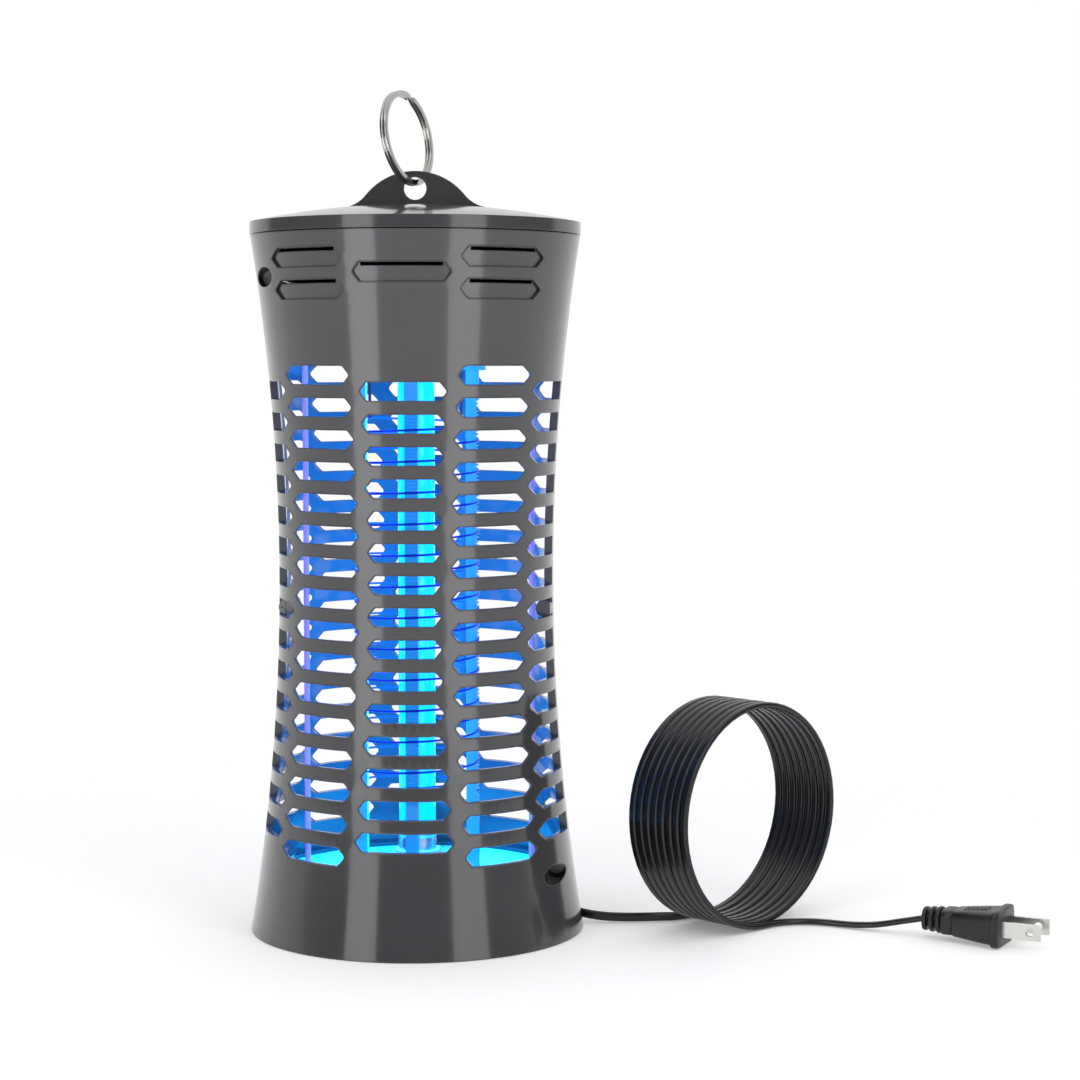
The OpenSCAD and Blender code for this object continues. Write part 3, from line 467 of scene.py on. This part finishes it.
for cx, cy, a0 in ((1, 1, 0), (-1, 1, 90), (-1, -1, 180), (1, -1, 270)):
    for k in range(4):
        a = deg(a0 + 30 * k)
        ring_section.append((cx * (RING_WIRE / 2 - RING_EDGE_R) + RING_EDGE_R * math.cos(a),
                             cy * (RING_TURN / 2 - RING_EDGE_R) + RING_EDGE_R * math.sin(a)))
ring_verts, ring_faces = sweep(ring_line, ring_out, ring_side, ring_section)
add_mesh("split_ring", ring_verts, ring_faces, chrome_mat, "hang_ring",
         replaces=("hang_ring",))

# ---------------------------------------------------------------- wound grid

WIRE_R = 0.45 * MM
GRID_TURNS = 24
GRID_STEPS = GRID_TURNS * 48
for name in ("grid_wire_a", "grid_wire_b"):
    lo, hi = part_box(name)
    r = hi.x - WIRE_R
    z0, z1 = lo.z + WIRE_R, hi.z - WIRE_R
    start_a = 0 if name.endswith("a") else math.pi
    points, outs, alongs = [], [], []
    for i in range(GRID_STEPS + 1):
        share = i / GRID_STEPS
        a = 2 * math.pi * GRID_TURNS * share + start_a
        points.append(Vector((r * math.cos(a), r * math.sin(a), z0 + (z1 - z0) * share)))
        outs.append(Vector((math.cos(a), math.sin(a), 0)))
        alongs.append(Vector((0, 0, 1)))
    verts, faces = sweep(points, outs, alongs, circle(WIRE_R, 8))
    add_mesh(name.replace("grid_wire", "helix"), verts, faces, grid_painted_glow_mat, "housing",
             replaces=(name,))

# ---------------------------------------------------------------- lamp

tube_lo, tube_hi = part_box("uv_tube")
caps_lo, caps_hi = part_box("lamp_caps")
pins_lo, pins_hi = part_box("lamp_pins")
tube_r = tube_hi.x
neck_r = tube_r * 0.93
end_z = tube_lo.z - 4 * MM
tube_profile = [(0, end_z)]
for t in range(7):
    a = deg(90 * t / 6)
    tube_profile.append((neck_r * math.sin(a), end_z + 2 * MM * (1 - math.cos(a))))
tube_profile += [(neck_r, tube_lo.z + 1.0 * MM), (tube_r * 0.97, tube_lo.z + 2.0 * MM),
                 (tube_r, tube_lo.z + 3.2 * MM)]
mid = (tube_lo.z + tube_hi.z) / 2
tube_profile += [(r, 2 * mid - z) for r, z in reversed(tube_profile)]
verts, faces = lathe(tube_profile)
add_mesh("lamp_tube", verts, faces, lamp_mat, "housing", replaces=("uv_tube",))

cap_r = caps_hi.x
# The cap's side from its end: a rounded rim, then a rolled groove, then the mouth round the glass
cap_side = [(cap_r - 1.2 * MM, 0), (cap_r - 0.4 * MM, 0.3), (cap_r, 1.1), (cap_r, 8.4),
            (cap_r - 0.25 * MM, 8.8), (cap_r - 0.25 * MM, 9.3), (cap_r, 9.7), (cap_r, 11.5),
            (cap_r - 0.2 * MM, 11.9), (tube_r - 0.6 * MM, 12.0), (tube_r - 1.2 * MM, 10)]
cap_parts = []
for flip, base in ((1, caps_lo.z), (-1, caps_hi.z)):
    cap_parts.append(lathe([(0, base)] + [(r, base + flip * up * MM) for r, up in cap_side]))
verts, faces = joined(cap_parts)
add_mesh("lamp_end_caps", verts, faces, aluminium_mat, "housing",
         replaces=("lamp_caps",))
PIN_R, PIN_SIDES, PIN_OFFSET, PIN_LENGTH = 1.2 * MM, 20, 2.375 * MM, 6.9 * MM
pin_parts = []
for flip, end in ((1, pins_lo.z), (-1, pins_hi.z)):
    for side in (-1, 1):
        profile = [(0, end), (PIN_R * 0.6, end + flip * 0.15 * MM), (PIN_R, end + flip * 0.8 * MM),
                   (PIN_R, end + flip * PIN_LENGTH), (0, end + flip * PIN_LENGTH)]
        pin_parts.append(lathe(profile, PIN_SIDES, at=(side * PIN_OFFSET, 0, 0)))
verts, faces = joined(pin_parts)
add_mesh("lamp_pin_set", verts, faces, brass_mat, "housing", replaces=("lamp_pins",))

# ---------------------------------------------------------------- slot edges

# The housing's side and its slots, in millimetres
WAIST_R, WAIST_Z, FLARE_R, WALL = 56.3, 147.2, 870, 2.4
SLOT_H, SLOT_PITCH, FLOOR_BAND, SLOT_TIP = 7.45, 12.6, 13.9, 3
MIDDLE_HALF_W, MIDDLE_GROWTH, COLUMN_GAP = 14.5, 0.87, 3.4
SECOND_A, THIRD_A, SIDE_Y = deg(54.4), deg(55.4), -5.8
VENT_H, VENT_HALF_A = 7.8, deg(17.5)
# Each vent: its angle from the front, and how far its middle is below the shells' top
VENTS = ((0, 16.3), (38, 10.3), (38, 22.7), (-38, 10.3), (-38, 22.7))
CORNER_R, ARC_STEPS, FILLET_INSET = 1.4, 5, 0.02
LIP_R, LIP_SIDES, LIP_INWARD, LIP_DEEP = 0.36, 8, 0.20, 0.24
floor_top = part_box("floor_plate")[1].z / MM
deck_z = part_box("deck")[0].z / MM
shell_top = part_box("front_shell")[1].z / MM
row_z = floor_top + FLOOR_BAND + SLOT_H / 2
row_count = int((deck_z - 0.5 - row_z - SLOT_H / 2) / SLOT_PITCH) + 1


def side_r(z):
    """The housing's radius at height z."""
    return WAIST_R + FLARE_R - math.sqrt(FLARE_R ** 2 - (z - WAIST_Z) ** 2)


def on_side(x, z, inset=0.0):
    """The point of the front half's surface at x, z."""
    r = side_r(z) - inset
    return Vector((x, -math.sqrt(max(r * r - x * x, 0)), z))


def out_of_side(q):
    """The surface's outward direction at q."""
    slope = (q.z - WAIST_Z) / math.sqrt(FLARE_R ** 2 - (q.z - WAIST_Z) ** 2)
    flat = Vector((q.x, q.y, 0)).normalized()
    return (flat - slope * Vector((0, 0, 1))).normalized()


def slot_corners(x0, x1, z, high):
    """The six corners of a slot with pointed ends, seen from the front."""
    h = high / 2
    return [Vector((x, y)) for x, y in ((x0, z), (x0 + SLOT_TIP, z - h), (x1 - SLOT_TIP, z - h),
                                        (x1, z), (x1 - SLOT_TIP, z + h), (x0 + SLOT_TIP, z + h))]


def round_corner(before, corner, after):
    """The corner's arc, from one side to the next."""
    a, b = (before - corner).normalized(), (after - corner).normalized()
    half = a.angle(b) / 2
    centre = corner + (a + b).normalized() * CORNER_R / math.sin(half)
    start = corner + a * CORNER_R / math.tan(half) - centre
    end = corner + b * CORNER_R / math.tan(half) - centre
    sweep_by = start.angle_signed(end)
    out = []
    for k in range(ARC_STEPS + 1):
        t = -sweep_by * k / ARC_STEPS
        out.append(centre + Vector((start.x * math.cos(t) - start.y * math.sin(t),
                                    start.x * math.sin(t) + start.y * math.cos(t))))
    return out


def along(a, b, step=2.5):
    """Points between a and b, both left out."""
    n = max(2, int((b - a).length / step))
    return [a.lerp(b, k / n) for k in range(1, n)]


def lip(outline, closed):
    """A fine rounded edge along an outline on the side."""
    at = [on_side(p.x, p.y) for p in outline]
    rows, ins, outs = [], [], []
    n = len(at)
    for i, q in enumerate(at):
        ahead = at[(i + 1) % n] if closed else at[min(i + 1, n - 1)]
        behind = at[i - 1] if closed else at[max(i - 1, 0)]
        out = out_of_side(q)
        inward = out.cross(ahead - behind).normalized()
        rows.append((q - LIP_INWARD * inward - LIP_DEEP * out) * MM)
        ins.append(inward)
        outs.append(out)
    return sweep(rows, ins, outs, circle(LIP_R * MM, LIP_SIDES), closed)


def fillet(corner, arc):
    """Fills a slot's sharp corner through the wall."""
    ring = [corner] + arc
    front = [on_side(p.x, p.y, FILLET_INSET) * MM for p in ring]
    back = [on_side(p.x, p.y, WALL) * MM for p in ring]
    n = len(ring)
    faces = [tuple(range(n)), tuple(range(2 * n - 1, n - 1, -1))]
    faces += [(k, k + n, (k + 1) % n + n, (k + 1) % n) for k in range(n)]
    return front + back, faces


edge_parts = []


def edge_slot(corners, closed=True, filled=True):
    """Rounds a slot's corners and its outer edge; an open one has no arc at its two ends."""
    n = len(corners)
    outline = []
    for i, corner in enumerate(corners):
        if not closed and i in (0, n - 1):
            points = [corner]
        else:
            points = round_corner(corners[i - 1], corner, corners[(i + 1) % n])
            if filled:
                edge_parts.append(fillet(corner, points))
        if outline:
            outline += along(outline[-1], points[0])
        outline += points
    if closed:
        outline += along(outline[-1], outline[0])
    edge_parts.append(lip(outline, closed))


def both_halves(name):
    """Makes a piece of the front half's edge parts, with a copy turned half round for the rear."""
    front_verts, front_faces = joined(edge_parts)
    rear_verts = [Vector((-v[0], -v[1], v[2])) for v in front_verts]
    both_verts, both_faces = joined([(front_verts, front_faces), (rear_verts, front_faces)])
    add_mesh(name, both_verts, both_faces, housing_mat, "housing")
    edge_parts.clear()


for i in range(row_count):
    z = row_z + i * SLOT_PITCH
    inner = MIDDLE_HALF_W + MIDDLE_GROWTH * (side_r(z) - WAIST_R) + COLUMN_GAP
    outer = side_r(z) * math.sin(SECOND_A)
    edge_slot(slot_corners(inner, outer, z, SLOT_H))
    edge_slot(slot_corners(-outer, -inner, z, SLOT_H))
for i in range(row_count - 1):
    z = row_z + (i + 0.5) * SLOT_PITCH
    half_w = MIDDLE_HALF_W + MIDDLE_GROWTH * (side_r(z) - WAIST_R)
    edge_slot(slot_corners(-half_w, half_w, z, SLOT_H))
    tip = side_r(z) * math.sin(THIRD_A)
    top, low = z + SLOT_H / 2, z - SLOT_H / 2
    ends = [math.sqrt(side_r(h) ** 2 - SIDE_Y ** 2) for h in (top, low)]
    # An open slot's outline from the seam, round its tip and back to the seam
    right = [(ends[0], top), (tip + SLOT_TIP, top), (tip, z), (tip + SLOT_TIP, low), (ends[1], low)]
    edge_slot([Vector(p) for p in right], closed=False)
    edge_slot([Vector((-x, y)) for x, y in reversed(right)], closed=False)
both_halves("slot_edges")

# The vents' pockets have the same fine edge, without filled corners
for centre, drop in VENTS:
    z = shell_top - drop
    left_x, right_x = [side_r(z) * math.sin(deg(centre) + a) for a in (-VENT_HALF_A, VENT_HALF_A)]
    edge_slot(slot_corners(left_x, right_x, z, VENT_H), filled=False)
both_halves("vent_edges")

# ---------------------------------------------------------------- stage and light

FADE_FROM, FADE_TO = 0.13, 0.50
FLOOR_R, FLOOR_SIDES, FLOOR_BELOW = 12, 128, 0.2 * MM
FRONT_LEVEL, BACK_LEVEL, TOP_LEVEL = 0.17, 1.15, 1.25
PANEL_DISTANCE, PANEL_H, PANEL_BASE, PANEL_POWER = 0.75, 1.3, 0.01, 2.6
LAMP_LIGHTS, LAMP_LIGHT_R = 8, 0.006

scene.view_settings.view_transform = "Standard"
scene.view_settings.look = "None"


def smooth_range(tree, source, from_lo, from_hi, to_lo=0.0, to_hi=1.0):
    """Eases a value from one range into another."""
    n = add(tree, "ShaderNodeMapRange", interpolation_type="SMOOTHSTEP")
    n.inputs["From Min"].default_value = from_lo
    n.inputs["From Max"].default_value = from_hi
    n.inputs["To Min"].default_value = to_lo
    n.inputs["To Max"].default_value = to_hi
    tree.links.new(source, n.inputs["Value"])
    return n.outputs["Result"]


# A floor that runs out into plain white
floor_mat, tree, bsdf = new_material("floor_white")
bsdf.inputs["Base Color"].default_value = (0.95, 0.95, 0.95, 1)
bsdf.inputs["Roughness"].default_value = 0.7
bsdf.inputs["Specular IOR Level"].default_value = 0.2
bsdf.inputs["Emission Color"].default_value = (1, 1, 1, 1)
bsdf.inputs["Emission Strength"].default_value = 0.18
place = add(tree, "ShaderNodeNewGeometry")
reach = add(tree, "ShaderNodeVectorMath", operation="LENGTH")
tree.links.new(place.outputs["Position"], reach.inputs[0])
fade = smooth_range(tree, reach.outputs["Value"], FADE_FROM, FADE_TO)
bright = add(tree, "ShaderNodeEmission", Strength=1.0)
bright.inputs["Color"].default_value = (1, 1, 1, 1)
blend = add(tree, "ShaderNodeMixShader")
tree.links.new(fade, blend.inputs[0])
tree.links.new(bsdf.outputs["BSDF"], blend.inputs[1])
tree.links.new(bright.outputs["Emission"], blend.inputs[2])
tree.links.new(blend.outputs["Shader"], tree.nodes["Material Output"].inputs["Surface"])
bpy.ops.mesh.primitive_circle_add(vertices=FLOOR_SIDES, radius=FLOOR_R, fill_type="NGON",
                                  location=(0.05, 0, -FLOOR_BELOW))
floor = bpy.context.object
floor.name = "stage_floor"
floor.data.materials.append(floor_mat)

# Plain white behind for the camera, and a studio of soft panels for the reflections
world = bpy.data.worlds.new("studio")
scene.world = world
world.use_nodes = True
wt = world.node_tree
for n in list(wt.nodes):
    wt.nodes.remove(n)
out = add(wt, "ShaderNodeOutputWorld")
sees = add(wt, "ShaderNodeLightPath")
white = add(wt, "ShaderNodeBackground", Strength=1.0)
white.inputs["Color"].default_value = (1, 1, 1, 1)
room = add(wt, "ShaderNodeBackground", Strength=1.0)
pick = add(wt, "ShaderNodeMixShader")
direction = add(wt, "ShaderNodeTexCoord")
axes = add(wt, "ShaderNodeSeparateXYZ")
wt.links.new(direction.outputs["Generated"], axes.inputs[0])
back = smooth_range(wt, axes.outputs["Y"], 0.35, 0.5, FRONT_LEVEL, BACK_LEVEL)
above = smooth_range(wt, axes.outputs["Z"], 0.45, 0.75, 0.0, TOP_LEVEL)
level = add(wt, "ShaderNodeMath", operation="MAXIMUM")
wt.links.new(back, level.inputs[0])
wt.links.new(above, level.inputs[1])
wt.links.new(level.outputs["Value"], room.inputs["Strength"])
wt.links.new(sees.outputs["Is Camera Ray"], pick.inputs[0])
wt.links.new(room.outputs["Background"], pick.inputs[1])
wt.links.new(white.outputs["Background"], pick.inputs[2])
wt.links.new(pick.outputs["Shader"], out.inputs["Surface"])


def softbox(name, azimuth, wide):
    """An upright panel facing the axis; azimuth 0 is towards -Y, positive towards +X."""
    light = bpy.data.lights.new(name, "AREA")
    light.shape = "RECTANGLE"
    light.size, light.size_y = wide, PANEL_H
    light.energy = PANEL_POWER
    o = bpy.data.objects.new(name, light)
    scene.collection.objects.link(o)
    a = deg(azimuth)
    at = Vector((PANEL_DISTANCE * math.sin(a), -PANEL_DISTANCE * math.cos(a), PANEL_BASE + PANEL_H / 2))
    o.location = at
    aim = Vector((0, 0, at.z))
    o.rotation_euler = (aim - at).to_track_quat("-Z", "Y").to_euler()


softbox("panel_left", -33, 0.28)
softbox("panel_right", 40, 0.32)


def lamp_lights(name, colour, energy, lit):
    """A column of small lights along the lamp that reach only the pieces in lit."""
    receivers = bpy.data.collections.new(name)
    for o in lit:
        receivers.objects.link(o)
    for i in range(LAMP_LIGHTS):
        light = bpy.data.lights.new(f"{name}_{i}", "POINT")
        light.energy = energy
        light.color = colour
        light.shadow_soft_size = LAMP_LIGHT_R
        o = bpy.data.objects.new(f"{name}_{i}", light)
        scene.collection.objects.link(o)
        o.location = (0, 0, tube_lo.z + (tube_hi.z - tube_lo.z) * (i + 0.5) / LAMP_LIGHTS)
        o.light_linking.receiver_collection = receivers
        o.visible_glossy = False
        o.visible_camera = False


# The lamp's light on the inside of the cage and housing
pieces = bpy.data.objects
for name in ("lamp_tube", "lamp_end_caps", "helix_a", "helix_b"):
    pieces[name].visible_shadow = False
lamp_lights("glow_on_housing", (0.0, 0.24, 0.95), 0.38,
            [nodes[n] for n in ("front_shell", "rear_shell", "deck", "shell_screws")]
            + [pieces["slot_edges"]])
lamp_lights("glow_in_cage", (0.0, 0.42, 1.0), 0.5,
            [nodes[n] for n in ("comb_post_front", "comb_post_right", "comb_post_rear",
                                "comb_post_left", "lamp_holder_upper", "lamp_holder_lower",
                                "floor_plate")]
            + [pieces[n] for n in ("helix_a", "helix_b", "lamp_end_caps")])
